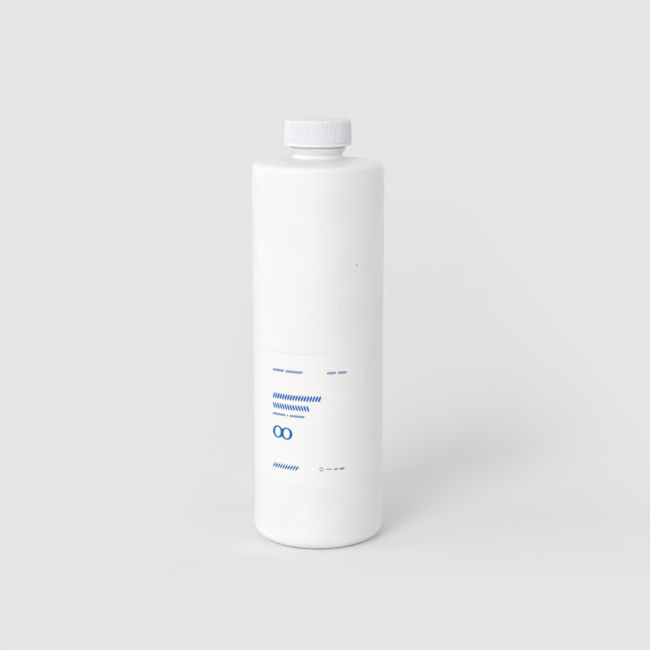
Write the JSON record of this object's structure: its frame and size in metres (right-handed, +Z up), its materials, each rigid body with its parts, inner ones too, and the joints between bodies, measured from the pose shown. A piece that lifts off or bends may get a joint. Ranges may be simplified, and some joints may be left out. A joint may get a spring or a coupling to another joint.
{
  "type": "hand soap refill bottle",
  "caption": "Tall white cylinder bottle with a ribbed screw cap, a liner, a wrapped square label and a fill of liquid soap.",
  "frame": {"origin": "middle of the base, on the surface that the bottle stands on", "axes": "+Z up along the bottle's axis, the label's print faces -Y, +X to its right"},
  "size_m": [0.062, 0.0622, 0.2004],
  "materials": {
    "bottle": "satin",
    "screw_cap": "satin",
    "cap_liner": "matte",
    "label": "satin",
    "print": "satin",
    "soap": "gloss"
  },
  "bodies": {
    "bottle": {"bottle": "bottle", "label": "label", "soap_fill": "soap"},
    "liner": {"cap_liner": "cap_liner"},
    "cap": {"screw_cap": "screw_cap"}
  },
  "joints": [
    {"name": "cap_lift", "type": "slide", "parent": "bottle", "child": "liner", "axis": [0, 0, 1], "range_m": [0, 0.0149]},
    {"name": "cap_turn", "type": "hinge", "parent": "liner", "child": "cap", "pos_m": [0, 0, 0.1942], "axis": [0, 0, 1], "range_deg": [0, 1260]}
  ],
  "couplings": [
    {"joint": "cap_lift", "follows": "cap_turn", "m_per_rad": 0.00067375}
  ]
}
